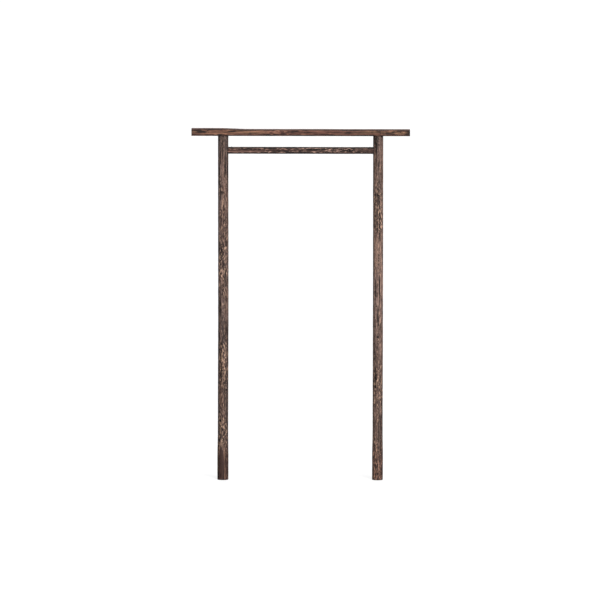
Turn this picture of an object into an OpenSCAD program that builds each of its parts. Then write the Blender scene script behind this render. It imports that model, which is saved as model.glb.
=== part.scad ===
// Torii-style garden gate in stained cedar: two turned log posts, a squared
// top beam, a squared tie beam, and the screws that hold them together.
// Frame: +Z up, +X from the left post to the right post, +Y to the back.
// The origin is the centre of the left post's foot. Millimetres.

/* [Gate] */
// Height from the feet to the top of the beam
gate_h = 2400; // [1900:5:2900]
// Distance between the centre lines of the posts
post_spacing = 1055; // [700:5:1500]
// How far the top beam runs past each centre line
beam_overhang = 216.5; // [120:0.5:400]

/* [Posts] */
// Diameter of the left post above its butt
left_post_d = 71; // [58:0.5:95]
// Diameter of the right post above its butt
right_post_d = 69; // [58:0.5:95]
// How much thicker the butt of each log is, across the diameter
butt_swell = 4.5; // [0:0.5:12]
// Height over which the butt keeps its full thickness
butt_h = 150; // [60:5:300]
// Height over which the butt eases into the post
butt_ease = 180; // [60:5:400]
// Cut-back of the edge round each foot
foot_arris = 4; // [1:0.5:8]

/* [Top beam] */
// Height of the top beam
beam_h = 42; // [34:0.5:70]
// Depth of the top beam, front to back
beam_d = 75; // [50:0.5:120]
// Extra height that the top beam keeps at its left end, its butt
beam_swell = 6; // [0:0.5:15]
// Length over which the left end keeps its full height
beam_butt = 190; // [60:5:300]
// Length over which the extra height eases away
beam_ease = 210; // [60:5:300]
// Cut-back of the top beam's edges
beam_arris = 3; // [1:0.5:6]

/* [Tie beam] */
// Height of the tie beam
tie_h = 44; // [30:0.5:70]
// Depth of the tie beam, front to back
tie_d = 42; // [30:0.5:52]
// Clear height between the tie beam and the top beam
tie_gap = 79; // [60:1:250]
// How far each end of the tie beam is let into its post
tie_seat = 10; // [6:0.5:14]
// Cut-back of the tie beam's edges
tie_arris = 2.5; // [1:0.5:6]

/* [Joinery] */
// Side of the square stub tenon on top of each post
tenon_side = 32; // [20:0.5:38]
// Height of the stub tenon
tenon_h = 16; // [8:0.5:20]
// Play on each side between a tenon and its seat
fit_gap = 0.3; // [0.1:0.1:1]

/* [Coach screws in the top beam] */
// Shank diameter
coach_d = 8; // [6:0.5:10]
// Length under the head
coach_len = 100; // [70:5:110]
// Length of the point
coach_point = 9; // [5:0.5:14]
// Hexagon head, across its flats
coach_head_af = 13; // [10:0.5:17]
// Height of the head
coach_head_h = 5.5; // [4:0.5:7]
// Washer diameter
washer_d = 24; // [20:0.5:26]
// Washer thickness
washer_t = 2; // [1:0.5:2.5]
// Diameter of the recess that the head and washer sit in
recess_d = 28; // [27:0.5:32]
// Depth of the recess
recess_h = 11; // [9:0.5:14]

/* [Slanted screws in the tie beam] */
// Shank diameter
slant_d = 5; // [4:0.5:6]
// Length under the head
slant_len = 75; // [60:5:90]
// Length of the point
slant_point = 7; // [4:0.5:10]
// Diameter of the pan head
slant_head_d = 12; // [8:0.5:14]
// Height of the pan head
slant_head_h = 4; // [2:0.5:5]
// Angle between the screw and the tie beam
slant_angle = 45; // [35:1:60]
// Distance of the screw from the face of its post, along the tie beam's top
slant_from_post = 25; // [15:1:40]
// How far the seat of the head is let in, along the screw
slant_sink = 3; // [1:0.5:6]

/* [Hidden] */
$fn = 96;

post_h = gate_h - beam_h;
beam_left = -beam_overhang;
beam_right = post_spacing + beam_overhang;
tie_top = post_h - tie_gap;
// The ends of the tie beam, at the bottom of their seats
tie_left = left_post_d / 2 - tie_seat;
tie_right = post_spacing - right_post_d / 2 + tie_seat;
// A screw runs loose through the first timber and bites in the second
coach_hole = coach_d + 1;
slant_hole = slant_d + 0.6;
beam_recess_z = gate_h - recess_h;
ease_steps = 6;
past = 1; // how far a cutting shape runs past the face that it cuts

// Smooth step from 0 to 1
function ease(t) = let (u = max(0, min(1, t))) u * u * (3 - 2 * u);

// Share of a butt's extra thickness that is left at a distance from its end
function swell_left(from_end, full, eased) = 1 - ease((from_end - full) / eased);

// Places where an easing curve is drawn, from its start to its end
function ease_places(full, eased) = [for (i = [0 : ease_steps]) full + eased * i / ease_steps];

function post_r(d, z) = d / 2 + butt_swell / 2 * swell_left(z, butt_h, butt_ease);

function beam_top(x) = gate_h + beam_swell * swell_left(x - beam_left, beam_butt, beam_ease);

// Rectangle across a timber at x, with its four edges cut back
function section(x, half_d, low, high, cut) = [
    [x, cut - half_d, low], [x, half_d - cut, low],
    [x, half_d, low + cut], [x, half_d, high - cut],
    [x, half_d - cut, high], [x, cut - half_d, high],
    [x, -half_d, high - cut], [x, -half_d, low + cut]
];

// Squared timber through a row of sections
module timber(sections) {
    corners = len(sections[0]);
    last = len(sections) - 1;
    polyhedron(
        points = [for (s = sections) each s],
        faces = [
            [for (k = [0 : corners - 1]) k],
            [for (k = [corners - 1 : -1 : 0]) last * corners + k],
            for (i = [0 : last - 1], k = [0 : corners - 1])
                let (a = i * corners, b = a + corners, n = (k + 1) % corners)
                [a + k, b + k, b + n, a + n]
        ]
    );
}

// Plain shank and point of a screw, hanging down from z = 0
module shank(d, length, point) {
    translate([0, 0, point - length])
        cylinder(d = d, h = length - point);
    translate([0, 0, -length])
        cylinder(d1 = d / 8, d2 = d, h = point);
}

// Coach screw pointing down, with the underside of its head at z = 0
module coach_screw() {
    cylinder(d = coach_head_af / cos(30), h = coach_head_h, $fn = 6);
    shank(coach_d, coach_len, coach_point);
}

// Pan-headed screw pointing down, with the underside of its head at z = 0
module pan_screw() {
    rim = slant_head_h / 3;
    cylinder(d = slant_head_d, h = rim);
    translate([0, 0, rim])
        cylinder(d1 = slant_head_d, d2 = slant_head_d * 2 / 3, h = slant_head_h - rim);
    shank(slant_d, slant_len, slant_point);
}

// Washer with its top at z = 0
module washer() {
    translate([0, 0, -washer_t])
        difference() {
            cylinder(d = washer_d, h = washer_t);
            translate([0, 0, -past])
                cylinder(d = coach_hole, h = washer_t + 2 * past);
        }
}

// Round log standing on its foot, with a stub tenon on top
module log_with_tenon(d) {
    ease_zs = ease_places(butt_h, butt_ease);
    rotate_extrude()
        polygon([
            [0, 0],
            [post_r(d, 0) - foot_arris, 0],
            [post_r(d, 0), foot_arris],
            for (z = ease_zs) [post_r(d, z), z],
            [d / 2, post_h],
            [0, post_h]
        ]);
    translate([-tenon_side / 2, -tenon_side / 2, post_h - past])
        cube([tenon_side, tenon_side, tenon_h + past]);
}

// Puts what points down at z = 0 on the seat of a slanted screw's head, in the
// frame of a post whose inner side is towards +X
module on_slant(d) {
    translate([d / 2 + slant_from_post, 0, tie_top])
        rotate([0, 90 - slant_angle, 0])
            translate([0, 0, -slant_sink])
                children();
}

// Post with its inner side towards +X
module post(d) {
    color("#6b5148")
        difference() {
            log_with_tenon(d);
            // seat of the tie beam
            translate([d / 2 - tie_seat, -tie_d / 2 - fit_gap, tie_top - tie_h - fit_gap])
                cube([tie_seat + butt_swell + past, tie_d + 2 * fit_gap, tie_h + 2 * fit_gap]);
            // holes that the two screws bite in
            on_slant(d)
                translate([0, 0, -slant_len])
                    cylinder(d = slant_d, h = slant_len);
            translate([0, 0, beam_recess_z + washer_t - coach_len])
                cylinder(d = coach_d, h = coach_len);
        }
}

// Moves what belongs to the right post from the left post's frame
module at_right_post() {
    translate([post_spacing, 0, 0])
        mirror([1, 0, 0])
            children();
}

module left_post() {
    post(left_post_d);
}

module right_post() {
    at_right_post() post(right_post_d);
}

module top_beam() {
    // x along the beam, and how far the end face is cut back there
    places = concat(
        [[beam_left, beam_arris], [beam_left + beam_arris, 0]],
        [for (x = ease_places(beam_butt, beam_ease)) [beam_left + x, 0]],
        [[beam_right - beam_arris, 0], [beam_right, beam_arris]]
    );
    color("#70503f")
        difference() {
            timber([
                for (p = places)
                    section(p[0], beam_d / 2 - p[1], post_h + p[1], beam_top(p[0]) - p[1], beam_arris)
            ]);
            for (x = [0, post_spacing])
                translate([x, 0, 0]) {
                    // mortise for the post's tenon
                    translate([-tenon_side / 2 - fit_gap, -tenon_side / 2 - fit_gap, post_h - past])
                        cube([
                            tenon_side + 2 * fit_gap,
                            tenon_side + 2 * fit_gap,
                            tenon_h + fit_gap + past
                        ]);
                    translate([0, 0, beam_recess_z])
                        cylinder(d = recess_d, h = recess_h + beam_swell + past);
                    translate([0, 0, post_h])
                        cylinder(d = coach_hole, h = beam_h);
                }
        }
}

// Pocket for a slanted screw's head, and the loose hole below it
module slant_cut() {
    pocket = slant_sink + slant_head_h + slant_head_d;
    cylinder(d = slant_head_d + 2 * fit_gap, h = pocket);
    translate([0, 0, -slant_len])
        cylinder(d = slant_hole, h = slant_len + past);
}

module tie_beam() {
    color("#62483d")
        difference() {
            timber([
                for (x = [tie_left, tie_right])
                    section(x, tie_d / 2, tie_top - tie_h, tie_top, tie_arris)
            ]);
            on_slant(left_post_d) slant_cut();
            at_right_post() on_slant(right_post_d) slant_cut();
        }
}

// Puts a fixing that points down on top of the washer in the top beam
module on_beam(x) {
    color("#8a8d8f")
        translate([x, 0, beam_recess_z + washer_t])
            children();
}

module left_beam_screw() {
    on_beam(0) coach_screw();
}

module right_beam_screw() {
    on_beam(post_spacing) coach_screw();
}

module left_beam_washer() {
    on_beam(0) washer();
}

module right_beam_washer() {
    on_beam(post_spacing) washer();
}

module left_tie_screw() {
    color("#3b3a3a") on_slant(left_post_d) pan_screw();
}

module right_tie_screw() {
    color("#3b3a3a") at_right_post() on_slant(right_post_d) pan_screw();
}

left_post();
right_post();
top_beam();
tie_beam();
left_beam_screw();
right_beam_screw();
left_beam_washer();
right_beam_washer();
left_tie_screw();
right_tie_screw();
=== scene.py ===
# %% [markdown]
# # A log gate in stained cedar
# The gate has two turned log posts, a squared top beam that lies on them, and
# a squared tie beam between them. It is all wood, so this lesson is mostly
# about wood: how growth rings make its figure, how a brush and a stain bring
# that figure out, and how one rule can drive both the shape and the colour.
#
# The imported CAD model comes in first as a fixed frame. Every piece made below
# takes its place from that frame, in metres.

# %% The frame
import bpy
import itertools
import math
from mathutils import Matrix, Vector


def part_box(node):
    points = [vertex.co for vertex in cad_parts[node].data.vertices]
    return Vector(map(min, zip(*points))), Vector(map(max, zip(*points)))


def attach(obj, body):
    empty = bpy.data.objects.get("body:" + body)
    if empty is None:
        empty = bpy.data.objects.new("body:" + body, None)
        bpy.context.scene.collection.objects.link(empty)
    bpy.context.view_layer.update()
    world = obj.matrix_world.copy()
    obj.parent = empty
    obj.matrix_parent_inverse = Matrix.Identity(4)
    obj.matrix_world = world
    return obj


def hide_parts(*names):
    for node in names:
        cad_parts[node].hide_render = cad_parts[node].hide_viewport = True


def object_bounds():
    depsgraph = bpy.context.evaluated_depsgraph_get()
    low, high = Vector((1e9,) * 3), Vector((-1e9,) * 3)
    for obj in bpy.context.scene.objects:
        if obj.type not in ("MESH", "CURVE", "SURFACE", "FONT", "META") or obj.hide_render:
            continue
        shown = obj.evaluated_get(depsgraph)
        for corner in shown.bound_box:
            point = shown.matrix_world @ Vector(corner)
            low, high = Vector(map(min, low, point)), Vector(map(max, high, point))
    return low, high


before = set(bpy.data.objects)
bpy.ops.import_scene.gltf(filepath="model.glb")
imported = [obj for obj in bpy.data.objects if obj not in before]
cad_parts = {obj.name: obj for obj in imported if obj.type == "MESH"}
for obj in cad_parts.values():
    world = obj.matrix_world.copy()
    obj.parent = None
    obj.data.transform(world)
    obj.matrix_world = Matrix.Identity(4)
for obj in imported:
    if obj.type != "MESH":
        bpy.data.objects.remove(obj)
CAD_BOX = [list(corner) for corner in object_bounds()]
size = [round(h - l, 4) for l, h in zip(*CAD_BOX)]
print("gate:", size, "m,", len(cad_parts), "nodes")

# %% [markdown]
# ## Small helpers for node trees
# A tree of nodes is a list of sums, so here it is written as sums. A maker
# adds a node in one line and gives back what the node puts out, as a term.
# Terms can be added, subtracted, multiplied and divided, with each other or
# with plain numbers and vectors, and each such sign adds one more node. The
# same maker serves shader trees and Geometry Nodes trees, because Blender's
# math and noise nodes exist in both.

# %% Terms
SIGNS = {"add": "ADD", "sub": "SUBTRACT", "mul": "MULTIPLY", "truediv": "DIVIDE"}


class Term:
    """What one node puts out."""

    def __init__(self, maker, socket):
        self.maker, self.socket = maker, socket


def sign(what, swapped):
    def act(term, other):
        return term.maker.combine(what, *((other, term) if swapped else (term, other)))

    return act


for name, what in SIGNS.items():
    setattr(Term, f"__{name}__", sign(what, False))
    setattr(Term, f"__r{name}__", sign(what, True))


def is_vector(value):
    if isinstance(value, Term):
        return value.socket.type in ("VECTOR", "RGBA")
    return isinstance(value, tuple)


# %% Node maker
class Maker:
    """Adds nodes to one tree."""

    def __init__(self, tree):
        self.tree = tree

    def feed(self, socket, value):
        if isinstance(value, Term):
            self.tree.links.new(value.socket, socket)
        else:
            socket.default_value = value

    def add(self, kind, given=(), **settings):
        node = self.tree.nodes.new(kind)
        for key, value in settings.items():
            setattr(node, key, value)
        for key, value in dict(given).items():
            self.feed(node.inputs[key], value)
        return node

    def get(self, kind, given=(), out=0, **settings):
        """One output of a new node."""
        return Term(self, self.add(kind, given, **settings).outputs[out])

    def math(self, what, *values):
        return self.get("ShaderNodeMath", enumerate(values), operation=what)

    def vec(self, what, *values):
        out = 1 if what in ("LENGTH", "DOT_PRODUCT") else 0
        return self.get("ShaderNodeVectorMath", enumerate(values), out, operation=what)

    def combine(self, what, first, second):
        """Two numbers, two vectors, or a vector times a number."""
        assert what == "MULTIPLY" or is_vector(first) == is_vector(second)
        if is_vector(first) and is_vector(second):
            return self.vec(what, first, second)
        if is_vector(first) or is_vector(second):
            vector, factor = (first, second) if is_vector(first) else (second, first)
            given = {0: vector, "Scale": factor}
            return self.get("ShaderNodeVectorMath", given, operation="SCALE")
        return self.math(what, first, second)

    def join(self, x=0.0, y=0.0, z=0.0):
        return self.get("ShaderNodeCombineXYZ", {0: x, 1: y, 2: z})

    def split(self, vector):
        parts = self.add("ShaderNodeSeparateXYZ", {0: vector}).outputs
        return [Term(self, part) for part in parts]

    def ramp(self, value, start, end, low=0.0, high=1.0, smooth=True):
        """Goes from low to high as value goes from start to end, and stays there."""
        given = {0: value, 1: start, 2: end, 3: low, 4: high}
        way = "SMOOTHSTEP" if smooth else "LINEAR"
        return self.get("ShaderNodeMapRange", given, interpolation_type=way)

    def noise(self, place, detail=2.0, rough=0.5, out="Fac"):
        given = {"Vector": place, "Scale": 1.0, "Detail": detail, "Roughness": rough}
        return self.get("ShaderNodeTexNoise", given, out)

    def stretch(self, place, x, y, z):
        """place, counted in features of x, y and z metres."""
        return place * (1 / x, 1 / y, 1 / z)

    def mix(self, share, first, second):
        given = {0: share, 6: first, 7: second}
        return self.get("ShaderNodeMix", given, 2, data_type="RGBA")


# %% Groups of nodes
SHAPE, SHADER = "GeometryNodeTree", "ShaderNodeTree"
VECTOR, MATERIAL = "NodeSocketVector", "NodeSocketMaterial"
KINDS = {float: "NodeSocketFloat", int: "NodeSocketInt", bool: "NodeSocketBool",
         3: VECTOR, 4: "NodeSocketColor"}


def named(maker, node):
    """A node's outputs by their names."""
    return {socket.name: Term(maker, socket) for socket in node.outputs}


class Group(Maker):
    """A node tree whose inputs are given by value, or by kind if they have none."""

    def __init__(self, name, kind, takes):
        super().__init__(bpy.data.node_groups.new(name, kind))
        for title, value in takes.items():
            if isinstance(value, str):
                self.socket(title, "INPUT", value)
            else:
                kind = KINDS[len(value) if is_vector(value) else type(value)]
                self.socket(title, "INPUT", kind).default_value = value
        self.given = named(self, self.tree.nodes.new("NodeGroupInput"))

    def socket(self, title, side, kind):
        return self.tree.interface.new_socket(title, in_out=side, socket_type=kind)

    def end(self, results):
        """Gives the tree its outputs, by name."""
        for title, value in results.items():
            self.socket(title, "OUTPUT", value.socket.bl_idname)
        inputs = self.tree.nodes.new("NodeGroupOutput").inputs
        for title, value in results.items():
            self.feed(inputs[title], value)
        return self

    def place_in(self, maker, values):
        """The outputs of this group's node in another tree."""
        kind = "ShaderNodeGroup" if self.tree.type == "SHADER" else "GeometryNodeGroup"
        return named(maker, maker.add(kind, values, node_tree=self.tree))


# %% [markdown]
# ## Camera and studio
# A very long lens far away keeps upright lines parallel, which suits a tall
# and narrow thing such as a gate. The camera looks down by a few degrees, so
# a sliver of each beam's top shows and the feet end in a shallow curve.

# %% Camera
scene = bpy.context.scene
AIM = Vector((0.5244, 0, 1.2328))
AWAY = 90.0             # metres from the gate
LOOK_DOWN = math.radians(6)
ROLL = math.radians(0.09)
VIEW_WIDTH = 4.0896     # metres that the camera takes in at the gate

camera_data = bpy.data.cameras.new("camera")
camera_data.sensor_width = 36
camera_data.lens = 36 * AWAY / VIEW_WIDTH
camera_data.clip_end = 400
camera = bpy.data.objects.new("camera", camera_data)
scene.collection.objects.link(camera)
back = Vector((0, -math.cos(LOOK_DOWN), math.sin(LOOK_DOWN)))
camera.location = AIM + AWAY * back
camera.rotation_euler = (
    (-back).to_track_quat("-Z", "Y").to_matrix() @ Matrix.Rotation(ROLL, 3, "Z")
).to_euler()
scene.camera = camera
scene.view_settings.view_transform = "Standard"
print("lens:", round(camera_data.lens), "mm")

# %% [markdown]
# The floor and the walls of a studio are white, but they are lit less than
# the eye thinks. For the camera they are made bright, and for the light that
# bounces off them they are made dimmer. That keeps the sides of the round
# posts dark, which is what makes them look round.
#
# Whatever is seen at a flat angle shines like a mirror, even rough wood. The
# tops of the beams are seen so, and a white wall would turn them pale. So the
# walls are dim for shine too, and only the ceiling is bright, for the metal.


# %% Floor and world
def seen_or_bounced(m, seen, bounced):
    """A colour for the camera, and another for every other ray."""
    camera_ray = m.get("ShaderNodeLightPath", out="Is Camera Ray")
    return m.mix(camera_ray, (*bounced, 1), (*seen, 1))


def dim_horizon(m, colour):
    """The colour times a factor that rises with height, for rays of shine."""
    height = m.split(m.get("ShaderNodeTexCoord", out="Generated"))[2]
    rise = m.ramp(height, 0.15, 0.75, 0.06, 3.0, smooth=False)
    shine = m.get("ShaderNodeLightPath", out="Is Glossy Ray")
    return colour * (shine * (rise - 1.0) + 1.0)


world = bpy.data.worlds.new("studio")
world.use_nodes = True
scene.world = world
air = Maker(world.node_tree)
walls = seen_or_bounced(air, (1.0, 1.0, 1.0), (0.135, 0.14, 0.15))
air.feed(world.node_tree.nodes["Background"].inputs["Color"], dim_horizon(air, walls))


def new_material(name):
    """A new material, the maker of its tree and the inputs of its shader."""
    material = bpy.data.materials.new(name)
    material.use_nodes = True
    shader = material.node_tree.nodes["Principled BSDF"]
    return material, Maker(material.node_tree), shader.inputs


pale, m, shader = new_material("pale_floor")
matt = {"Roughness": 0.9, "Specular IOR Level": 0.1, "Emission Strength": 1.0}
for title, value in matt.items():
    shader[title].default_value = value
for title, seen, bounced in (("Base Color", 0.22, 0.20), ("Emission Color", 0.76, 0.0)):
    m.feed(shader[title], seen_or_bounced(m, (seen,) * 3, (bounced,) * 3))

FLOOR_REACH = 60.0
square = ((-1, -1), (1, -1), (1, 1), (-1, 1))
corners = [(x * FLOOR_REACH, y * FLOOR_REACH, 0) for x, y in square]
floor_mesh = bpy.data.meshes.new("studio_floor")
floor_mesh.from_pydata(corners, [], [(0, 1, 2, 3)])
floor_mesh.materials.append(pale)
floor = bpy.data.objects.new("studio_floor", floor_mesh)
scene.collection.objects.link(floor)
print("floor:", 2 * FLOOR_REACH, "m wide")

# %% [markdown]
# Three suns stand in for large, soft lamps. A sun has no place, only a
# direction, so its light is the same on both posts. The key stands a little to
# the right and is the only one that makes glare. The others only fill: one
# from overhead, and one that keeps the back from going black.


# %% Lights
def sun(name, azimuth, elevation, strength, softness, colour=(1, 1, 1), glare=False):
    """Soft light from far away; azimuth 0 is the camera's side, 90 the right."""
    data = bpy.data.lights.new(name, "SUN")
    data.energy, data.angle, data.color = strength, math.radians(softness), colour
    lamp = bpy.data.objects.new(name, data)
    scene.collection.objects.link(lamp)
    a, e = math.radians(azimuth), math.radians(elevation)
    towards = Vector((math.sin(a) * math.cos(e), -math.cos(a) * math.cos(e), math.sin(e)))
    lamp.rotation_euler = towards.to_track_quat("Z", "Y").to_euler()
    lamp.visible_glossy = glare


sun("key", 20, 34, 3.8, 24, (1.0, 0.985, 0.965), glare=True)
sun("overhead", 0, 80, 0.7, 60)
sun("back_fill", 180, 26, 2.7, 40)

# %% [markdown]
# ## Growth rings
# A log is a stack of cones round a pith that wanders a little from side to
# side. Whatever surface is cut through it shows those cones: straight lines
# where the cut runs across them, and long pointed arches where it only grazes
# them. Painting such lines one by one never looks right, so they are worked
# out from the place in the log: the distance to the pith, in ring widths, plus
# soft lumps that turn long lines into islands and short strokes.
#
# A knot pushes the rings outwards round it. A swirl does the same over a
# longer stretch, and leaves a broad arch.
#
# The same group is built twice, once for Geometry Nodes and once for shaders.
# A ridge in the shape then lies exactly on its line in the colour.

# %% Ring group
KNOTS = ("Knot A", "Knot B", "Knot C", "Knot D")
SEED_STEP = (3.7, 5.3, 7.9)     # how far each seed moves the noise
ACROSS = (1, 1, 0)              # leaves out the direction of the grain
FIGURE = {
    "Pith": (0.004, 0.004, 0),
    "Wander": 0.012,
    "Wander length": 0.45,
    "Ring width": 0.0032,
    "Lumps": 0.006,
    "Lump width": 0.022,
    "Lump length": 0.11,
    "Knot size": 0.014,
    "Swirl": (0, 0, -9),
    "Swirl width": 0.02,
    "Swirl length": 0.15,
    "Swirl rise": 0.012,
    "Busy at": (-9, -9, -9),
    "Busy length": 0.16,
    "Seed": 0.0,
    **{knot: (0, 0, -9) for knot in KNOTS},
}


def hump(m, place, centre, width, length):
    """1 at the centre and 0 far from it, long in the direction of the grain."""
    away = (place - centre) / m.join(width, width, length)
    return m.math("EXPONENT", m.vec("DOT_PRODUCT", away, away) * -1.0)


def ring_group(kind):
    m = Group("Growth rings", kind, {"Place": VECTOR, **FIGURE})
    g = m.given
    place = g["Place"]
    seed = SEED_STEP * g["Seed"]
    height = m.split(place)[2]
    busy = 0.0
    for at in m.split(g["Busy at"]):
        away = (height - at) / g["Busy length"]
        busy = busy + m.math("EXPONENT", away * away * -1.0)
    drift = m.noise(m.join(0, 0, height / g["Wander length"]) + seed, 1.0, 0.4, "Color")
    drift = (drift - (0.5, 0.5, 0.5)) * g["Wander"]
    radius = m.vec("LENGTH", (place - g["Pith"] - drift) * ACROSS)

    size = m.join(g["Lump width"], g["Lump width"], g["Lump length"])
    lumps = m.noise(place / size + seed, 2.5, 0.45)
    radius = (lumps - 0.5) * (g["Lumps"] * (busy * 0.8 + 0.5)) + radius

    bulge = core = 0.0
    for knot in KNOTS:
        bulge = bulge + hump(m, place, g[knot], g["Knot size"], g["Knot size"] * 2.6)
        heart = g["Knot size"] * 0.42
        core = core + m.ramp(hump(m, place, g[knot], heart, heart * 1.5), 0.25, 0.6)
    radius = bulge * 0.007 + radius
    swirl = hump(m, place, g["Swirl"], g["Swirl width"], g["Swirl length"])
    radius = swirl * g["Swirl rise"] + radius

    step = m.math("FRACT", radius / g["Ring width"])
    late = m.ramp(step, 0.35, 0.85) * m.ramp(step, 0.92, 1.0, 1.0, 0.0)
    groove = m.ramp(step, 0.0, 0.06) * m.ramp(step, 0.12, 0.42, 1.0, 0.0)
    return m.end({"Late wood": late, "Groove": groove, "Knot": core, "Bulge": bulge,
                  "Swirl": swirl, "Busy": busy})


rings_in_shape = ring_group(SHAPE)
rings_in_colour = ring_group(SHADER)
print("ring group:", len(rings_in_shape.tree.nodes), "nodes")

# %% [markdown]
# ## What each timber is like
# Every timber is cut from its own log, so each has its own pith, knots and
# swirl. The places are counted along the grain: across, across, along.

# %% Figure of each timber
LEFT_FACE, RIGHT_FACE = -0.0355, -0.0345   # front faces of the two posts
POST_GRAIN = {"Wander": 0.030, "Ring width": 0.0024, "Lumps": 0.0085,
              "Lump width": 0.017, "Lump length": 0.07}
GRAIN = {
    "left_post": {
        **POST_GRAIN, "Seed": 1.0, "Pith": (0.005, 0.004, 0),
        "Swirl": (-0.011, LEFT_FACE, 0.080), "Swirl width": 0.020,
        "Swirl length": 0.15, "Swirl rise": 0.012, "Busy at": (1.50, 0.80, 0.30),
        "Knot A": (0.022, LEFT_FACE + 0.008, 0.62), "Knot B": (-0.035, 0.004, 1.46),
        "Knot C": (0.012, 0.0335, 1.93), "Knot D": (0.0345, 0.009, 1.08),
    },
    "right_post": {
        **POST_GRAIN, "Seed": 2.0, "Pith": (-0.004, 0.005, 0),
        "Swirl": (0.006, RIGHT_FACE, 1.62), "Swirl width": 0.018,
        "Swirl length": 0.12, "Swirl rise": 0.008, "Busy at": (1.86, 0.64, 0.12),
        "Knot A": (0.000, RIGHT_FACE, 0.983), "Knot B": (0.034, 0.006, 1.71),
        "Knot C": (-0.012, 0.0325, 0.66), "Knot D": (-0.0335, -0.008, 1.98),
    },
    "top_beam": {
        "Seed": 3.0, "Pith": (0.014, -0.040, 0), "Wander": 0.022, "Wander length": 0.7,
        "Ring width": 0.0030, "Lumps": 0.006, "Lump width": 0.016, "Lump length": 0.16,
        "Swirl": (-0.0375, 0.004, 0.52), "Swirl width": 0.016,
        "Swirl length": 0.07, "Swirl rise": 0.008, "Busy at": (0.40, -0.05, 1.20),
        "Knot A": (0.0375, 0.006, 0.31), "Knot B": (-0.010, 0.021, 0.80),
        "Knot C": (0.020, -0.021, 1.12), "Knot size": 0.011,
    },
    "tie_beam": {
        "Seed": 4.0, "Pith": (0.004, -0.010, 0), "Wander": 0.018, "Wander length": 0.5,
        "Ring width": 0.0026, "Lumps": 0.007, "Lump width": 0.014, "Lump length": 0.08,
        "Swirl": (-0.021, 0.001, 0.80), "Swirl width": 0.016,
        "Swirl length": 0.05, "Swirl rise": 0.011, "Busy at": (0.80, 0.55, 0.20),
        "Knot A": (0.021, -0.004, 0.46), "Knot size": 0.010,
    },
}
SIDES = {"left": 0.0, "right": 1.055}     # where the centre line of each post stands
POST_X = {side + "_post": x for side, x in SIDES.items()}
print("timbers:", ", ".join(GRAIN))

# %% [markdown]
# A post's grain runs upwards, so its place in the log is just its place from
# the post's centre line. A beam's grain runs along X, so its two directions
# across are Y and the height above the beam's middle.


# %% Place along the grain
def middle(node):
    lo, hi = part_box(node)
    return (lo[2] + hi[2]) / 2


BEAM_HEIGHT = 0.042     # of the top beam, away from its thicker left end
BEAM_Z = {
    "top_beam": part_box("top_beam")[0][2] + BEAM_HEIGHT / 2,
    "tie_beam": middle("tie_beam"),
}


def along_grain(m, position, timber):
    if timber in POST_X:
        return position - (POST_X[timber], 0, 0)
    x, y, z = m.split(position)
    return m.join(y, z - BEAM_Z[timber], x)


print("beam middles:", {k: round(v, 4) for k, v in BEAM_Z.items()})

# %% [markdown]
# ## Posts
# The posts are logs that were turned or peeled round and then brushed with
# wire. The brush digs the soft early wood out between the hard late rings,
# and leaves them standing by a few tenths of a millimetre. A lathe shape with
# a bump map would show that only in the middle of the picture, never on the
# outline, so the ridges are real here: a tree of Geometry Nodes takes a fine
# cylinder, gives it the thicker butt and the eased foot, and then moves each
# point by the ring that it lies on.


# %% Steps that trees share
def cylinder(m, around, rows, fill):
    """A fine cylinder, 1 m in radius and 1 m high, for a tree to reshape."""
    given = {"Vertices": around, "Side Segments": rows, "Fill Segments": fill,
             "Radius": 1.0, "Depth": 1.0}
    return m.get("GeometryNodeMeshCylinder", given, out="Mesh", fill_type="TRIANGLE_FAN")


def move(m, mesh, **where):
    """The mesh with each point at a new Position, or moved by an Offset."""
    return m.get("GeometryNodeSetPosition", {"Geometry": mesh, **where})


def relief(m, place, level, wave_length):
    """How far the late wood stands out at a place, with slow waves, and its rings."""
    g = m.given
    rings = rings_in_shape.place_in(m, {"Place": place, **{name: g[name] for name in FIGURE}})
    wave = m.noise(m.stretch(place, 0.05, 0.05, wave_length) + SEED_STEP * g["Seed"], 2.0)
    return (rings["Late wood"] - level) * g["Relief"] + (wave - 0.5) * g["Waviness"], rings


def finish_tree(m, mesh):
    """Ends a tree in Realize Instances and Set Material."""
    mesh = m.get("GeometryNodeRealizeInstances", {"Geometry": mesh})
    given = {"Geometry": mesh, "Material": m.given["Material"]}
    return m.end({"Geometry": m.get("GeometryNodeSetMaterial", given)}).tree


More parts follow.
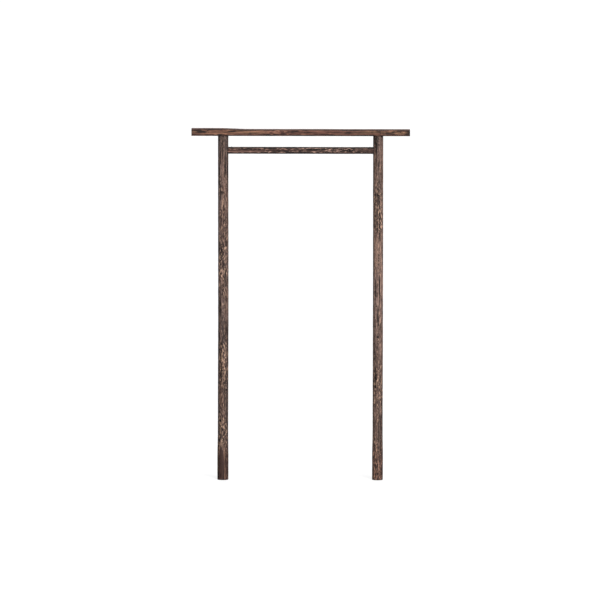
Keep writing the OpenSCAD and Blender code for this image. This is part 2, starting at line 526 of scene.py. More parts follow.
# %% Tree for a turned log
def log_tree():
    m = Group("Turned log", SHAPE, {
        "Around": 176, "Rows": 480, "Height": 2.3, "Diameter": 0.07, "Stand": VECTOR,
        "Butt swell": 0.0045, "Butt height": 0.15, "Butt ease": 0.18, "Arris": 0.004,
        "Arris rows": 5, "Bow": VECTOR, "Relief": 0.0005, "Waviness": 0.0008,
        **FIGURE, "Material": MATERIAL,
    })
    g = m.given
    at = m.get("GeometryNodeInputPosition")
    row = (m.split(at)[2] + 0.5) * g["Rows"]
    turn = m.ramp(row, 0, g["Arris rows"], smooth=False) * (math.pi / 2)
    arris = g["Arris"]
    foot = (1.0 - m.math("COSINE", turn)) * arris
    inset = (1.0 - m.math("SINE", turn)) * arris
    rest = g["Height"] - arris
    height = foot + m.ramp(row, g["Arris rows"], g["Rows"], 0.0, rest, smooth=False)
    butt_end = g["Butt height"] + g["Butt ease"]
    butt = m.ramp(height, g["Butt height"], butt_end, g["Butt swell"], 0.0)
    radius = (g["Diameter"] + butt) * 0.5 - inset
    shaped = at * ACROSS * radius + m.join(0, 0, height)
    mesh = move(m, cylinder(m, g["Around"], g["Rows"], fill=8), Position=shaped)

    place = m.get("GeometryNodeInputPosition")
    push, rings = relief(m, place, 0.4, 0.22)
    push = push + (rings["Bulge"] * 0.0006 + rings["Knot"] * -0.0006)
    # the ridges fade out towards the middle of the foot and of the top
    share = m.vec("LENGTH", place * ACROSS) / 0.03
    share = m.math("MINIMUM", m.math("POWER", share, 6.0), 1.0)
    half_turn = m.split(place)[2] / g["Height"] * math.pi
    bend = g["Bow"] * m.math("POWER", m.math("SINE", half_turn), 2.0)
    offset = m.vec("NORMALIZE", place * ACROSS) * (push * share) + bend + g["Stand"]
    return finish_tree(m, move(m, mesh, Offset=offset))


LOG_TREE = log_tree()
print("log tree:", len(LOG_TREE.nodes), "nodes")

# %% [markdown]
# The tree is a recipe. A modifier cooks it with one post's values, and the
# result is then kept as a plain mesh. A modifier's inputs are set by the
# identifiers of the sockets, because their names aren't unique to Blender.


# %% From tree to mesh
def dress(mesh, material):
    """One material on every face, also on the faces that a tool has cut."""
    mesh.materials.clear()
    mesh.materials.append(material)
    mesh.polygons.foreach_set("material_index", [0] * len(mesh.polygons))


def grow(name, tree, values, material):
    """A plain mesh object from a tree and the values of its named inputs."""
    keys = {i.name: i.identifier for i in tree.interface.items_tree if i.in_out == "INPUT"}
    holder = bpy.data.objects.new(name + "_holder", bpy.data.meshes.new(name + "_holder"))
    scene.collection.objects.link(holder)
    modifier = holder.modifiers.new("nodes", "NODES")
    modifier.node_group = tree
    for title, value in {**values, "Material": material}.items():
        modifier[keys[title]] = value
    graph = bpy.context.evaluated_depsgraph_get()
    mesh = bpy.data.meshes.new_from_object(holder.evaluated_get(graph))
    bpy.data.objects.remove(holder)
    mesh.name = name
    dress(mesh, material)
    piece = bpy.data.objects.new(name, mesh)
    scene.collection.objects.link(piece)
    return piece


def solid(name, vertices, faces):
    mesh = bpy.data.meshes.new(name)
    mesh.from_pydata(vertices, [], faces)
    tool = bpy.data.objects.new(name, mesh)
    scene.collection.objects.link(tool)
    return tool


def block(low, high):
    """A box as a cutting tool, from its lowest to its highest corner."""
    points = list(itertools.product(*zip(low, high)))
    faces = [(0, 1, 3, 2), (4, 6, 7, 5), (0, 4, 5, 1),
             (2, 3, 7, 6), (0, 2, 6, 4), (1, 5, 7, 3)]
    return solid("block", points, faces)


def drill(start, end, diameter, sides=48):
    """A round cutting tool from one point to another."""
    axis = Vector(end) - Vector(start)
    turn = axis.to_track_quat("Z", "Y")
    points = []
    for centre in (Vector(start), Vector(end)):
        for i in range(sides):
            a = 2 * math.pi * i / sides
            rim = Vector((math.cos(a), math.sin(a), 0)) * diameter / 2
            points.append(centre + turn @ rim)
    faces = [tuple(reversed(range(sides))), tuple(range(sides, 2 * sides))]
    faces += [(i, (i + 1) % sides, sides + (i + 1) % sides, sides + i) for i in range(sides)]
    return solid("drill", points, faces)


def work(piece, joins=(), cuts=()):
    """Joins tools to a piece, cuts others out of it, and keeps a plain mesh."""
    for tools, operation in ((joins, "UNION"), (cuts, "DIFFERENCE")):
        for tool in tools:
            step = piece.modifiers.new("step", "BOOLEAN")
            step.operation, step.object, step.solver = operation, tool, "MANIFOLD"
    graph = bpy.context.evaluated_depsgraph_get()
    worked = bpy.data.meshes.new_from_object(piece.evaluated_get(graph))
    piece.modifiers.clear()
    old, piece.data = piece.data, worked
    dress(worked, old.materials[0])
    bpy.data.meshes.remove(old)
    for tool in (*cuts, *joins):
        bpy.data.objects.remove(tool)
    worked.name = piece.name


def settle(piece, node, sharp=32):
    """Shades a finished piece and puts it in the frame, in place of its CAD node."""
    piece.data.shade_smooth()
    piece.data.set_sharp_from_angle(angle=math.radians(sharp))
    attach(piece, "root")
    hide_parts(node)
    print(piece.name + ":", len(piece.data.polygons), "faces")


# %% [markdown]
# ## Finishes
# The wood was stained dark brown over a charred or tea-coloured ground and
# then brushed. Three things show, from near to far: hair-fine fibres, the
# rings with their dark late wood, and patches where the high ridges were
# rubbed pale. One group makes all three from the place in the log, and each
# timber's material gives it its own colours.


# %% Shared finish groups
MIDDLE_TONE = 0.12      # what is lighter gets lighter still, and the dark darker
TONES = ("Early colour", "Late colour", "Rubbed colour", "Cool colour", "Char colour")


def stain_colour(m, g, stroke, streak, broad):
    """Early and late wood, stained, charred in the grooves and rubbed on the ridges."""
    late, busy = g["Late wood"], g["Busy"]
    colour = m.mix(late * 0.6, g["Early colour"], g["Late colour"])
    cooled = m.ramp(broad, 0.38, 0.62) * g["Cooling"]
    colour = m.mix(cooled, colour, g["Cool colour"])
    lines = m.ramp(streak, 0.515, 0.57) * g["Charring"]
    burnt = g["Groove"] * m.ramp(stroke, 0.42, 0.56, 0.2, 1.0)
    short = m.ramp(stroke, 0.44, 0.36) * m.ramp(busy, 0.0, 0.8, 0.25, 0.85)
    burnt = m.math("MAXIMUM", burnt, short) * g["Charring"]
    colour = m.mix(m.math("MAXIMUM", lines, burnt), colour, g["Char colour"])
    bare = m.ramp(stroke, 0.545, 0.61) * m.ramp(late, 0.1, 0.7, 0.3, 1.0)
    bare = bare * m.ramp(busy, 0.0, 0.9, 0.35, 0.8)
    edge = m.ramp(g["Swirl"], 0.12, 0.22) * m.ramp(g["Swirl"], 0.26, 0.40, 1.0, 0.0)
    edge = edge * g["Swirl tone"] * m.ramp(streak, 0.62, 0.46)
    bare = m.math("MAXIMUM", bare, edge * 0.5) * g["Rubbing"]
    smooth = m.ramp(g["Swirl"], 0.30, 0.55, 0.0, g["Swirl tone"])
    colour = m.mix(bare * (1.0 - smooth), colour, g["Rubbed colour"])
    arches = m.mix(0.5, g["Late colour"], g["Early colour"])
    arches = m.mix(late * 0.5, arches, g["Char colour"])
    return m.mix(g["Knot"], m.mix(smooth, colour, arches), g["Char colour"])


def stained_grain():
    m = Group("Stained grain", SHADER, {
        "Place": VECTOR, "Late wood": 0.0, "Groove": 0.0, "Knot": 0.0, "Swirl": 0.0,
        "Busy": 0.0, **dict.fromkeys(TONES, "NodeSocketColor"),
        "Rubbing": 0.8, "Charring": 0.7, "Cooling": 0.4, "Swirl tone": 0.0,
        "Stroke width": 0.0058, "Stroke length": 0.026, "Streak length": 0.20,
        "Contrast": 0.65, "End grain": 0.0, "Seed": 0.0,
    })
    g = m.given
    late, width = g["Late wood"], g["Stroke width"]
    place = g["Place"] + (0.37, 0.53, 1.9) * g["Seed"]
    fibre = m.noise(m.stretch(place, 0.0011, 0.0011, 0.06), 2.0, 0.6)
    pores = m.noise(m.stretch(place, 0.0007, 0.0007, 0.014), 1.0, 0.5)
    broad = m.noise(m.stretch(place, 0.03, 0.03, 0.5), 2.0)
    streak = m.noise(place / m.join(width, width, g["Streak length"]), 1.0, 0.45)
    apart = place + (0.4, 0.8, 0.3)
    stroke = m.noise(apart / m.join(width, width, g["Stroke length"]), 1.0, 0.4)

    colour = stain_colour(m, g, stroke, streak, broad)
    colour = colour * m.ramp(fibre, 0.25, 0.75, 0.62, 1.38, smooth=False)
    colour = colour * m.ramp(pores, 0.62, 0.7, 1.0, 0.5)
    light = m.vec("DOT_PRODUCT", colour, (0.21, 0.72, 0.07))
    colour = colour * m.math("POWER", light / MIDDLE_TONE, g["Contrast"])
    sawn = m.mix(late * 0.7, g["Early colour"], g["Char colour"])
    sawn = sawn * m.ramp(fibre, 0.3, 0.7, 0.45, 0.85, smooth=False)
    rough = m.ramp(late, 0.0, 1.0, 0.72, 0.52) + m.ramp(fibre, 0.3, 0.7, -0.06, 0.06)
    height = late * 0.35 + (stroke * 0.45 + (pores * -0.25 + fibre * 0.5))
    colour = m.mix(g["End grain"], colour, sawn)
    return m.end({"Colour": colour, "Roughness": rough, "Height": height})


GRAIN_FINISH = stained_grain()


def arris_tone():
    """How near a point is to the long edges of a squared timber."""
    m = Group("Arris tone", SHADER, {
        "Place": VECTOR, "Half depth": 0.03, "Half height": 0.02, "Reach": 0.006,
    })
    g = m.given
    x, y, z = m.split(g["Place"])
    near = 1.0
    for across, half in ((x, g["Half depth"]), (y, g["Half height"])):
        start = half - g["Reach"]
        near = near * m.ramp(m.math("ABSOLUTE", across), start, half)
    patchy = m.noise(m.stretch(g["Place"], 0.01, 0.01, 0.04), 3.0)
    return m.end({"Near": near, "Worn": near * m.ramp(patchy, 0.56, 0.66)})


ARRIS_TONE = arris_tone()


def upward_dust_and_shade():
    """A mask of the faces that lie upwards, in spots: dirt on the top beam, painted shadow on
    the tie beam's top.
    """
    m = Group("Settled dust", SHADER, {"Place": VECTOR, "Least": 0.5, "Grain": 0.01})
    g = m.given
    normal = m.get("ShaderNodeNewGeometry", out="Normal")
    up = m.ramp(m.split(normal)[2], 0.35, 0.9)
    spots = m.noise(g["Place"] * (1.0 / g["Grain"]), 3.0, 0.6)
    return m.end({"Dust": up * m.ramp(spots, 0.3, 0.7, g["Least"], 1.0)})


DUST_AND_SHADE = upward_dust_and_shade()
print("finish groups:", GRAIN_FINISH.tree.name, ARRIS_TONE.tree.name, DUST_AND_SHADE.tree.name)

# %% [markdown]
# ## Colours of the wood
# The stain went on dark and even, and the wire brush then took it off the
# high spots. So each timber needs five colours: the soft early wood, the hard
# late wood, the rubbed high spots, a cooler tone where the stain lies thick,
# and the near black of the grooves. They are given as they look on a screen
# and turned into the linear values that a shader counts in.


# %% Wood colours
def rgb(r, g, b):
    """A colour of 0 to 255 as seen on a screen, as the linear colour of a shader."""
    seen = (r / 255, g / 255, b / 255)
    return (*(c / 12.92 if c <= 0.04045 else ((c + 0.055) / 1.055) ** 2.4 for c in seen), 1.0)


def tones(*seen):
    return {tone: rgb(*colour) for tone, colour in zip(TONES, seen)}


POST_COLOURS = {
    **tones((126, 102, 93), (84, 56, 49), (198, 163, 137), (108, 95, 94), (36, 24, 22)),
    "Rubbing": 0.85, "Charring": 0.95, "Cooling": 0.5,
    "Stroke width": 0.0042, "Stroke length": 0.022,
}
COLOURS = {
    "left_post": {**POST_COLOURS, "Swirl tone": 0.9},
    "right_post": {
        **POST_COLOURS, "Early colour": rgb(138, 112, 101), "Rubbing": 0.95, "Cooling": 0.3,
    },
    "top_beam": {
        **tones((131, 88, 75), (88, 50, 41), (182, 134, 106), (113, 93, 64), (36, 22, 20)),
        "Rubbing": 0.8, "Charring": 0.9, "Cooling": 0.8,
        "Stroke width": 0.0072, "Stroke length": 0.036, "Streak length": 0.13,
        "Contrast": 0.45,
    },
    "tie_beam": {
        **tones((110, 80, 71), (74, 40, 33), (190, 152, 136), (90, 78, 71), (30, 19, 17)),
        "Rubbing": 0.8, "Charring": 0.95, "Cooling": 0.6,
        "Stroke width": 0.0060, "Stroke length": 0.027, "Streak length": 0.12,
        "Contrast": 0.6,
    },
}

# parts of a post that are darker or paler: from where, to where, and how much;
# the left post's last band is painted shade just under the top beam
SHADES = {
    "left_post": ((0.16, 0.30, 0.80, 0.74), (0.30, 0.60, 1.0, 1.04), (0.95, 1.35, 1.0, 1.42),
                  (2.18, 2.32, 1.0, 0.84)),
    "right_post": ((0.16, 0.30, 0.88, 0.81), (0.36, 0.66, 1.0, 1.10), (1.0, 1.2, 1.0, 1.30),
                   (1.66, 1.84, 1.0, 0.82)),
}
print("colours of", len(COLOURS), "timbers")

# %% [markdown]
# What is left is where each colour lies. On a post that depends on its
# height, and on a beam on how near an edge is, where painted shade darkens
# the rounded edges. A vein is a streak that follows the timber for a stretch.
# Each timber gets a material of its own, built by one function, so that all
# four look cut from the same stack without being copies.


# %% Wood materials
def bump(m, height, strength, distance):
    given = {"Strength": strength, "Distance": distance, "Height": height}
    return m.get("ShaderNodeBump", given)


def vein(m, place, start, end, low, high, width):
    """A streak along a timber's face, from x and height start to those of end."""
    height, x = m.split(place)[1:]
    wobble = m.noise(m.join(low * 900, 0, x / 0.09), 2.0)
    path = (wobble - 0.5) * 0.004 + m.ramp(x, start, end, low, high)
    away = m.math("ABSOLUTE", height - path)
    fade = m.ramp(x, start - 0.06, start) * m.ramp(x, end, end + 0.10, 1.0, 0.0)
    return m.ramp(away, width * 0.4, width, 1.0, 0.0) * fade


def post_tones(m, place, colour, timber):
    """The butts were soaked in preservative, and the tops get painted shade under the top
    beam.
    """
    height = m.split(place)[2]
    edge = m.noise(m.stretch(place, 0.02, 0.02, 0.08), 2.0)
    for start, end, low, high in SHADES[timber]:
        uneven = edge * 0.12 + height
        colour = colour * m.ramp(uneven, start, end, low, high)
    soaked = m.ramp(edge * -0.16 + height, 0.06, 0.24, 1.0, 0.0)
    colour = m.mix(soaked, colour, colour * (0.66, 0.56, 0.54))
    # painted shade: the top of each post goes darker and cooler just under the top beam
    shade_under_beam = m.ramp(edge * 0.1 + height, 2.28, 2.4, 0.0, 0.4)
    return m.mix(shade_under_beam, colour, colour * (0.55, 0.60, 0.68)), 0.0


# streaks on the beams: vein's own values, then how strong it is and its colour
VEINS = {
    "top_beam": (((-0.12, 0.25, -0.006, 0.009, 0.005), 0.5, rgb(170, 122, 96)),
                 ((0.30, 0.85, -0.004, -0.006, 0.0045), 0.5, rgb(78, 44, 36))),
    "tie_beam": (((0.06, 0.62, 0.002, 0.002, 0.0048), 0.9, rgb(46, 24, 19)),
                 ((0.04, 0.22, -0.006, -0.005, 0.0045), 0.45, rgb(160, 120, 106))),
}


def beam_tones(m, place, colour, timber):
    """Painted shade at edges, ends and lower faces; dirt on tops, and painted shadow on the
    tie's top.
    """
    low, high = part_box(timber)
    half = BEAM_HEIGHT / 2 if timber == "top_beam" else (high[2] - low[2]) / 2
    given = {"Place": place, "Half depth": (high[1] - low[1]) / 2, "Half height": half}
    tone = ARRIS_TONE.place_in(m, given)
    height, along = m.split(place)[1:]
    for shape, strength, tint in VEINS[timber]:
        colour = m.mix(vein(m, place, *shape) * strength, colour, tint)
    # grey dust on the top beam's top; on the tie beam the top goes near black, painted shadow
    # of the top beam
    dust_and_shadow_colour, least = rgb(84, 68, 64), 0.6
    if timber == "tie_beam":
        dust_and_shadow_colour, least = m.mix(m.ramp(along, 0.62, 0.78), rgb(14, 9, 8), rgb(66, 56, 52)), 0.92
    # painted shade: each face gets darker towards its lower edge
    shade_towards_bottom = m.ramp(height, -half, 0.018 - half, 0.38, 1.0)
    # painted shade: darker within about a centimetre of each end of a beam
    start = m.ramp(along, low[0], low[0] + 0.010, 0.35, 1.0)
    end = m.ramp(along, high[0] - 0.012, high[0], 1.0, 0.35)
    colour = colour * (shade_towards_bottom * (start * end))
    # painted shade: the colour goes near black along the rounded long edges
    colour = m.mix(tone["Near"] * 0.9, colour, colour * (0.16, 0.13, 0.13))
    colour = m.mix(tone["Worn"] * 0.25, colour, COLOURS[timber]["Rubbed colour"])
    dust_and_shade = DUST_AND_SHADE.place_in(m, {"Place": place, "Least": least})["Dust"]
    return m.mix(dust_and_shade, colour, dust_and_shadow_colour), dust_and_shade


def wood(timber):
    material, m, shader = new_material(timber + "_wood")
    at = m.get("ShaderNodeTexCoord", out="Object")
    place = along_grain(m, at, timber)
    rings = rings_in_colour.place_in(m, {"Place": place, **GRAIN[timber]})
    del rings["Bulge"]
    normal = m.split(m.get("ShaderNodeNewGeometry", out="True Normal"))
    across_end = m.math("ABSOLUTE", normal[2 if timber in POST_X else 0])
    given = {"Place": place, "Seed": GRAIN[timber]["Seed"], **rings,
             "End grain": m.ramp(across_end, 0.6, 0.85), **COLOURS[timber]}
    if timber == "top_beam":
        # the olive tone keeps to a band above the middle of the face
        bent = m.noise(m.stretch(place, 0.05, 0.02, 0.16), 1.0)
        off = bent * 0.016 + (m.split(place)[1] - 0.014)
        given["Cooling"] = m.ramp(m.math("ABSOLUTE", off), 0.003, 0.009, 0.9, 0.15)
    finish = GRAIN_FINISH.place_in(m, given)
    shade = post_tones if timber in POST_X else beam_tones
    colour, dust_and_shade = shade(m, place, finish["Colour"], timber)
    m.feed(shader["Base Color"], colour)
    m.feed(shader["Roughness"], m.math("MAXIMUM", finish["Roughness"], dust_and_shade))
    m.feed(shader["Normal"], bump(m, finish["Height"], 0.6, 0.0006))
    shader["Specular IOR Level"].default_value = 0.3
    return material


WOODS = {timber: wood(timber) for timber in GRAIN}
print("woods:", ", ".join(m.name for m in WOODS.values()))

# %% [markdown]
# ## Making the posts
# Each post is grown from its tree. A seat is then cut for the tie beam, the
# two screw holes are drilled, and the square tenon is joined on top, in the
# order in which a carpenter would do it.

# %% Posts
WOOD_SHARP = 38         # degrees, from which an edge of a timber stays sharp
POST_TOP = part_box("top_beam")[0][2]
TIE_LOW, TIE_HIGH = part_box("tie_beam")
TENON, TENON_HIGH = 0.032, 0.016
TIE_SEAT, FIT = 0.010, 0.0003
RECESS, BEAM_HOLE, POST_HOLE = 0.028, 0.009, 0.008      # round a coach screw
POCKET, TIE_HOLE, SLANT_HOLE = 0.0126, 0.0056, 0.005    # round a slanted screw
DIAMETER = {"left_post": 0.071, "right_post": 0.069}
BOW = {"left_post": (0.0018, 0.0006, 0), "right_post": (0.0008, -0.0006, 0)}
SLANT = Vector((1, 0, 1)).normalized()   # from a slanted screw's point to its head
SLANT_LONG, SLANT_SINK = 0.075, 0.003


def slant_seat(post):
    """Where a slanted screw's head sits, and which way its shank points."""
    inwards = 1 if post == "left_post" else -1
    out = Vector((inwards * SLANT.x, 0, SLANT.z))
    from_centre = DIAMETER[post] / 2 + 0.025
    top = Vector((POST_X[post] + inwards * from_centre, 0, TIE_HIGH[2]))
    return top - SLANT_SINK * out, -out


for post, x in POST_X.items():
    piece = grow(
        "turned_" + post,
        LOG_TREE,
        {**GRAIN[post], "Height": POST_TOP, "Diameter": DIAMETER[post],
         "Stand": (x, 0, 0), "Bow": BOW[post]},
        WOODS[post],
    )
    inwards = 1 if post == "left_post" else -1
    seat_x = sorted((x + inwards * (DIAMETER[post] / 2 - TIE_SEAT), x + inwards * 0.06))
    seat = block(
        (seat_x[0], TIE_LOW[1] - FIT, TIE_LOW[2] - FIT),
        (seat_x[1], TIE_HIGH[1] + FIT, TIE_HIGH[2] + FIT),
    )
    at, down = slant_seat(post)
    screw_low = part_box(post.replace("post", "beam_screw"))[0][2]
    half = TENON / 2
    tenon = block((x - half, -half, POST_TOP - 0.001), (x + half, half, POST_TOP + TENON_HIGH))
    work(
        piece,
        joins=[tenon],
        cuts=[seat, drill(at + down * SLANT_LONG, at, SLANT_HOLE),
              drill((x, 0, screw_low), (x, 0, POST_TOP + TENON_HIGH + 0.001), POST_HOLE)],
    )
    settle(piece, post, WOOD_SHARP)

# %% [markdown]
# ## Beams
# The beams are sawn square, with their edges planed off by a few millimetres.
# A fine box is a better start than a swept outline here, because its ends are
# a grid too, and so the end grain can be modelled like the faces. The tree
# first sets the rows, then rounds the edges by pulling every point towards a
# smaller box inside, and last it raises the rings.


# %% Tree for a sawn timber
END_ROWS = 5.0      # rows that stand close together at each end


def timber_tree():
    m = Group("Sawn timber", SHAPE, {
        "Length": 1.0, "Depth": 0.05, "Height": 0.05, "Rows": 320, "Rows deep": 56,
        "Rows high": 32, "Arris": 0.003, "End step": 0.0008, "Butt swell": 0.0,
        "Butt length": 0.19, "Butt ease": 0.21, "Start": 0.0, "Middle": 0.0,
        "Relief": 0.0003, "Waviness": 0.0006, **FIGURE, "Material": MATERIAL,
    })
    g = m.given
    given = {"Size": m.join(1.0, g["Depth"], g["Height"]), "Vertices X": g["Rows"],
             "Vertices Y": g["Rows deep"], "Vertices Z": g["Rows high"]}
    blank = m.get("GeometryNodeMeshCube", given, out="Mesh")
    x, y, z = m.split(m.get("GeometryNodeInputPosition"))
    half_rows = (g["Rows"] - 1.0) * 0.5
    from_end = half_rows - m.math("ABSOLUTE", x) * (half_rows * 2.0)
    dense = m.math("MINIMUM", from_end, END_ROWS) * g["End step"]
    half = g["Length"] * 0.5
    open_length = half - g["End step"] * END_ROWS
    inset = dense + m.ramp(from_end, END_ROWS, half_rows, 0.0, open_length, smooth=False)
    boxed = m.join(m.math("SIGN", x) * (half - inset), y, z)
    arris = g["Arris"]
    inner = m.join(half, g["Depth"] * 0.5, g["Height"] * 0.5) - m.join(arris, arris, arris)
    held = m.vec("MAXIMUM", m.vec("MINIMUM", boxed, inner), inner * -1.0)
    x, y, z = m.split(held + m.vec("NORMALIZE", boxed - held) * arris)
    from_start = x + half
    butt_end = g["Butt length"] + g["Butt ease"]
    swell = m.ramp(from_start, g["Butt length"], butt_end, g["Butt swell"], 0.0)
    z = swell * (z / g["Height"] + 0.5) + z
    laid = m.join(from_start + g["Start"], y, z + g["Middle"])
    mesh = move(m, blank, Position=laid)

    x, y, z = m.split(m.get("GeometryNodeInputPosition"))
    push, rings = relief(m, m.join(y, z - g["Middle"], x), 0.5, 0.3)
    push = push + rings["Knot"] * -0.0004
    return finish_tree(m, move(m, mesh, Offset=m.get("GeometryNodeInputNormal") * push))


TIMBER_TREE = timber_tree()
print("timber tree:", len(TIMBER_TREE.nodes), "nodes")

# %% [markdown]
# ## Top beam
# The top beam is the heaviest timber and is a little higher at its left end,
# which was the butt of the tree. It could be a stretched cube with a bevel,
# but then its faces would be dead flat, and a brushed board never is. So it
# is grown like the posts, and then worked as on a bench: a mortise for each
# tenon, a hole for each screw, and a recess that hides the screw's head.

# %% Top beam
low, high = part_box("top_beam")
beam = grow(
    "sawn_top_beam",
    TIMBER_TREE,
    {**GRAIN["top_beam"], "Length": high[0] - low[0], "Depth": high[1] - low[1],
     "Height": BEAM_HEIGHT, "Rows": 330, "Rows deep": 58, "Rows high": 34,
     "Butt swell": high[2] - low[2] - BEAM_HEIGHT, "Start": low[0],
     "Middle": BEAM_Z["top_beam"]},
    WOODS["top_beam"],
)
holes = []
for side, x in SIDES.items():
    floor_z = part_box(side + "_beam_washer")[0][2]
    reach = TENON / 2 + FIT
    holes.append(drill((x, 0, floor_z), (x, 0, high[2] + 0.01), RECESS))
    holes.append(drill((x, 0, low[2]), (x, 0, floor_z + 0.001), BEAM_HOLE))
    top = low[2] + TENON_HIGH + FIT
    holes.append(block((x - reach, -reach, low[2] - 0.01), (x + reach, reach, top)))
work(beam, cuts=holes)
settle(beam, "top_beam", WOOD_SHARP)

# %% [markdown]
# ## Tie beam
# The tie beam keeps the posts apart and square. Its ends sit in the seats
# that were cut into the posts, so no end grain shows. A slanted hole near
# each end takes a screw, with a pocket for its head.

# %% Tie beam
low, high = TIE_LOW, TIE_HIGH
tie = grow(
    "sawn_tie_beam",
    TIMBER_TREE,
    {**GRAIN["tie_beam"], "Length": high[0] - low[0], "Depth": high[1] - low[1],
     "Height": high[2] - low[2], "Rows": 260, "Rows deep": 34, "Rows high": 36,
     "Arris": 0.0025, "Start": low[0], "Middle": BEAM_Z["tie_beam"]},
    WOODS["tie_beam"],
)
pockets = []
for post in POST_X:
    at, down = slant_seat(post)
    pockets.append(drill(at, at - down * 0.02, POCKET))
    pockets.append(drill(at + down * SLANT_LONG, at - down * 0.001, TIE_HOLE))
work(tie, cuts=pockets)
settle(tie, "tie_beam", WOOD_SHARP)

# %% [markdown]
# ## Screws
# Two kinds of screw hold the gate. A coach screw with a hexagon head and a
# washer goes down through the beam into each post, and sits in a recess. A
# pan screw goes slantwise through the tie beam into each post, and its head
# stands a little proud of the tie's top.
#
# Both are the same recipe with other numbers: a shank whose radius follows a
# helix, and a head whose outline is either a circle or a hexagon that a cone
# has chamfered. A boolean in the tree joins the two into one closed skin.


# %% Tree for a screw
def boolean(m, operation, given, meshes):
    node = m.add("GeometryNodeMeshBoolean", given, operation=operation, solver="MANIFOLD")
    for mesh in meshes:
        m.feed(node.inputs["Mesh 2"], mesh)
    return Term(m, node.outputs[0])


def threaded_shank(m, flat, up, turn):
    """A shank that a helix has cut into, hanging down from the head's middle."""
    g = m.given
    tip = g["Length"] * -1.0
    level = m.ramp(up, 0.0, 1.0, tip, g["Head height"] * 0.5, smooth=False)
    phase = m.math("FRACT", level / g["Pitch"] - turn)
    crest = m.math("PINGPONG", phase * 2.0, 1.0)
    valley = m.ramp(crest, 0.35, 0.95, 1.0, 0.0, smooth=False)
    thread_top = tip + g["Thread length"]
    threaded = m.ramp(level, thread_top - g["Pitch"], thread_top, 1.0, 0.0)
    radius = g["Diameter"] * 0.5 - valley * threaded * g["Thread depth"]
    narrow = m.ramp(level, tip, tip + g["Point"], 0.12, 1.0, smooth=False)
    place = flat * (radius * narrow) + m.join(0, 0, level)
    return move(m, cylinder(m, around=40, rows=g["Rows"], fill=1), Position=place)


def screw_head(m, flat, up, turn):
    """A hexagon that a cone has chamfered, or a low dome."""
    g = m.given
    half = g["Head width"] * 0.5
    level = up * g["Head height"]
    angle = (m.math("FRACT", turn * 6.0) - 0.5) * (math.pi / 3)
    cone = (g["Head height"] - level) * 1.73 + half * 0.95
    hexagon = m.math("MINIMUM", half / m.math("COSINE", angle), cone)
    dome = m.ramp(up, 1 / 3, 1.0, smooth=False)
    dome = m.math("SQRT", 1.0 - dome * dome)
    given = {"Switch": g["Hexagon"], "False": half * (dome * (1 / 3) + 2 / 3), "True": hexagon}
    radius = m.get("GeometryNodeSwitch", given, input_type="FLOAT")
    place = flat * radius + m.join(0, 0, level)
    return move(m, cylinder(m, around=96, rows=16, fill=3), Position=place)


def screw_tree():
    m = Group("Screw", SHAPE, {
        "Length": 0.1, "Diameter": 0.008, "Point": 0.009, "Pitch": 0.0035,
        "Thread depth": 0.0011, "Thread length": 0.06, "Rows": 240, "Head width": 0.013,
        "Head height": 0.0055, "Hexagon": False, "Cross recess": False, "Seat": VECTOR,
        "Turn": VECTOR, "Material": MATERIAL,
    })
    g = m.given
    at = m.get("GeometryNodeInputPosition")
    x, y, z = m.split(at)
    form = (at * ACROSS, z + 0.5, m.math("ARCTAN2", y, x) / (2 * math.pi))
    whole = boolean(m, "UNION", {}, (threaded_shank(m, *form), screw_head(m, *form)))
    long, wide = g["Head width"] * 0.52, g["Head width"] * 0.11
    bars = []
    for size in (m.join(long, wide, 0.004), m.join(wide, long, 0.004)):
        bar = m.get("GeometryNodeMeshCube", {"Size": size}, out="Mesh")
        given = {"Geometry": bar, "Translation": m.join(0, 0, g["Head height"])}
        bars.append(m.get("GeometryNodeTransform", given))
    crossed = boolean(m, "DIFFERENCE", {"Mesh 1": whole}, bars)
    given = {"Switch": g["Cross recess"], "False": whole, "True": crossed}
    made = m.get("GeometryNodeSwitch", given, input_type="GEOMETRY")
    turn = m.get("FunctionNodeEulerToRotation", {0: g["Turn"]})
    given = {"Geometry": made, "Translation": g["Seat"], "Rotation": turn}
    return finish_tree(m, m.get("GeometryNodeTransform", given))


SCREW_TREE = screw_tree()
print("screw tree:", len(SCREW_TREE.nodes), "nodes")

# %% [markdown]
# Zinc is a metal, so it has its colour in its shine, and it dulls in spots
# where rain has stood on it. The slanted screws have a black coat, which is
# more like paint.


# %% Metal finishes
def metal(name, colour, metallic, roughness, spot_size, spot_colour, spots):
    """Metal or a coat on metal, with duller spots where it has weathered."""
    material, m, shader = new_material(name)
    at = m.get("ShaderNodeTexCoord", out="Object")
    patch = m.noise(at * (1 / spot_size), 3.0, 0.6)
    share = m.ramp(patch, 0.5, 0.68) * spots
    m.feed(shader["Base Color"], m.mix(share, (*colour, 1), (*spot_colour, 1)))
    m.feed(shader["Roughness"], m.ramp(patch, 0.35, 0.7, roughness, roughness + 0.25))
    fine = m.noise(at * 2500, 2.0, 0.5)
    m.feed(shader["Normal"], bump(m, fine, 0.25, 0.0001))
    shader["Metallic"].default_value = metallic
    return material


ZINC_SCREW = metal("zinc_screw", (0.50, 0.51, 0.52), 1.0, 0.34, 0.004, (0.30, 0.29, 0.27), 0.5)
ZINC_WASHER = metal("zinc_washer", (0.55, 0.56, 0.57), 1.0, 0.3, 0.005, (0.33, 0.32, 0.3), 0.5)
DARK_COAT = metal("dark_coat", (0.03, 0.026, 0.024), 0.0, 0.42, 0.003, (0.07, 0.05, 0.04), 0.4)

# %% [markdown]
# The coach screws stand on their washers, so the top of a washer is where
# the head begins, and the lowest point of the CAD screw gives the length. A
# screw's edges are kept sharp where two faces meet at a clear angle, and
# smooth everywhere else.


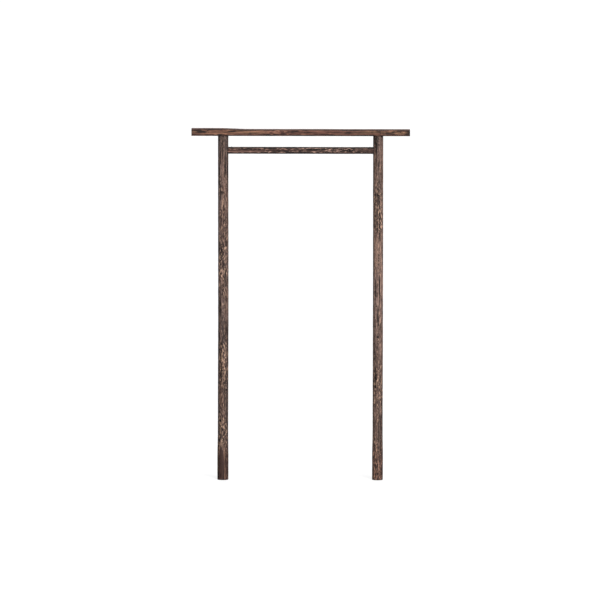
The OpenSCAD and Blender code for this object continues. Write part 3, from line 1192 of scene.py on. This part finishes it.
# %% Coach screws
for side, x in SIDES.items():
    node = side + "_beam_screw"
    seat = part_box(side + "_beam_washer")[1][2]
    screw = grow(
        "coach_screw_" + side,
        SCREW_TREE,
        {"Length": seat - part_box(node)[0][2], "Hexagon": True, "Seat": (x, 0, seat)},
        ZINC_SCREW,
    )
    settle(screw, node)

# %% [markdown]
# The washer is a flat ring that was stamped from sheet, so its edges are
# slightly rounded. Its section is a small rectangle with filleted corners,
# swept round a circle.


# %% Washers
def washer_tree():
    m = Group("Washer", SHAPE, {
        "Outer radius": 0.012, "Inner radius": 0.0045, "Thickness": 0.002,
        "Edge": 0.0004, "Place": VECTOR, "Material": MATERIAL,
    })
    g = m.given
    mean = (g["Outer radius"] + g["Inner radius"]) * 0.5
    breadth = g["Outer radius"] - g["Inner radius"]
    ring = m.get("GeometryNodeCurvePrimitiveCircle", {"Resolution": 72, "Radius": mean})
    given = {"Width": breadth, "Height": g["Thickness"]}
    section = m.get("GeometryNodeCurvePrimitiveQuadrilateral", given)
    given = {"Curve": section, "Radius": g["Edge"], "Count": 4}
    section = m.get("GeometryNodeFilletCurve", given, mode="POLY")
    swept = m.get("GeometryNodeCurveToMesh", {"Curve": ring, "Profile Curve": section})
    given = {"Geometry": swept, "Translation": g["Place"]}
    return finish_tree(m, m.get("GeometryNodeTransform", given))


WASHER_TREE = washer_tree()
for side, x in SIDES.items():
    node = side + "_beam_washer"
    ring = grow("washer_" + side, WASHER_TREE, {"Place": (x, 0, middle(node))}, ZINC_WASHER)
    settle(ring, node)

# %% [markdown]
# The slanted screws are the two small dark bumps on top of the tie beam, just
# beside the posts. They come from the same tree, with a round head, a cross
# recess for the driver and a finer thread.

# %% Slanted pan screws
for side in SIDES:
    node = side + "_tie_screw"
    at, down = slant_seat(side + "_post")
    screw = grow(
        "pan_screw_" + side,
        SCREW_TREE,
        {"Length": SLANT_LONG, "Diameter": 0.005, "Point": 0.007, "Pitch": 0.0022,
         "Thread depth": 0.0009, "Thread length": 0.045, "Head width": 0.012,
         "Head height": 0.004, "Cross recess": True, "Seat": tuple(at),
         "Turn": tuple((-down).to_track_quat("Z", "Y").to_euler())},
        DARK_COAT,
    )
    settle(screw, node)
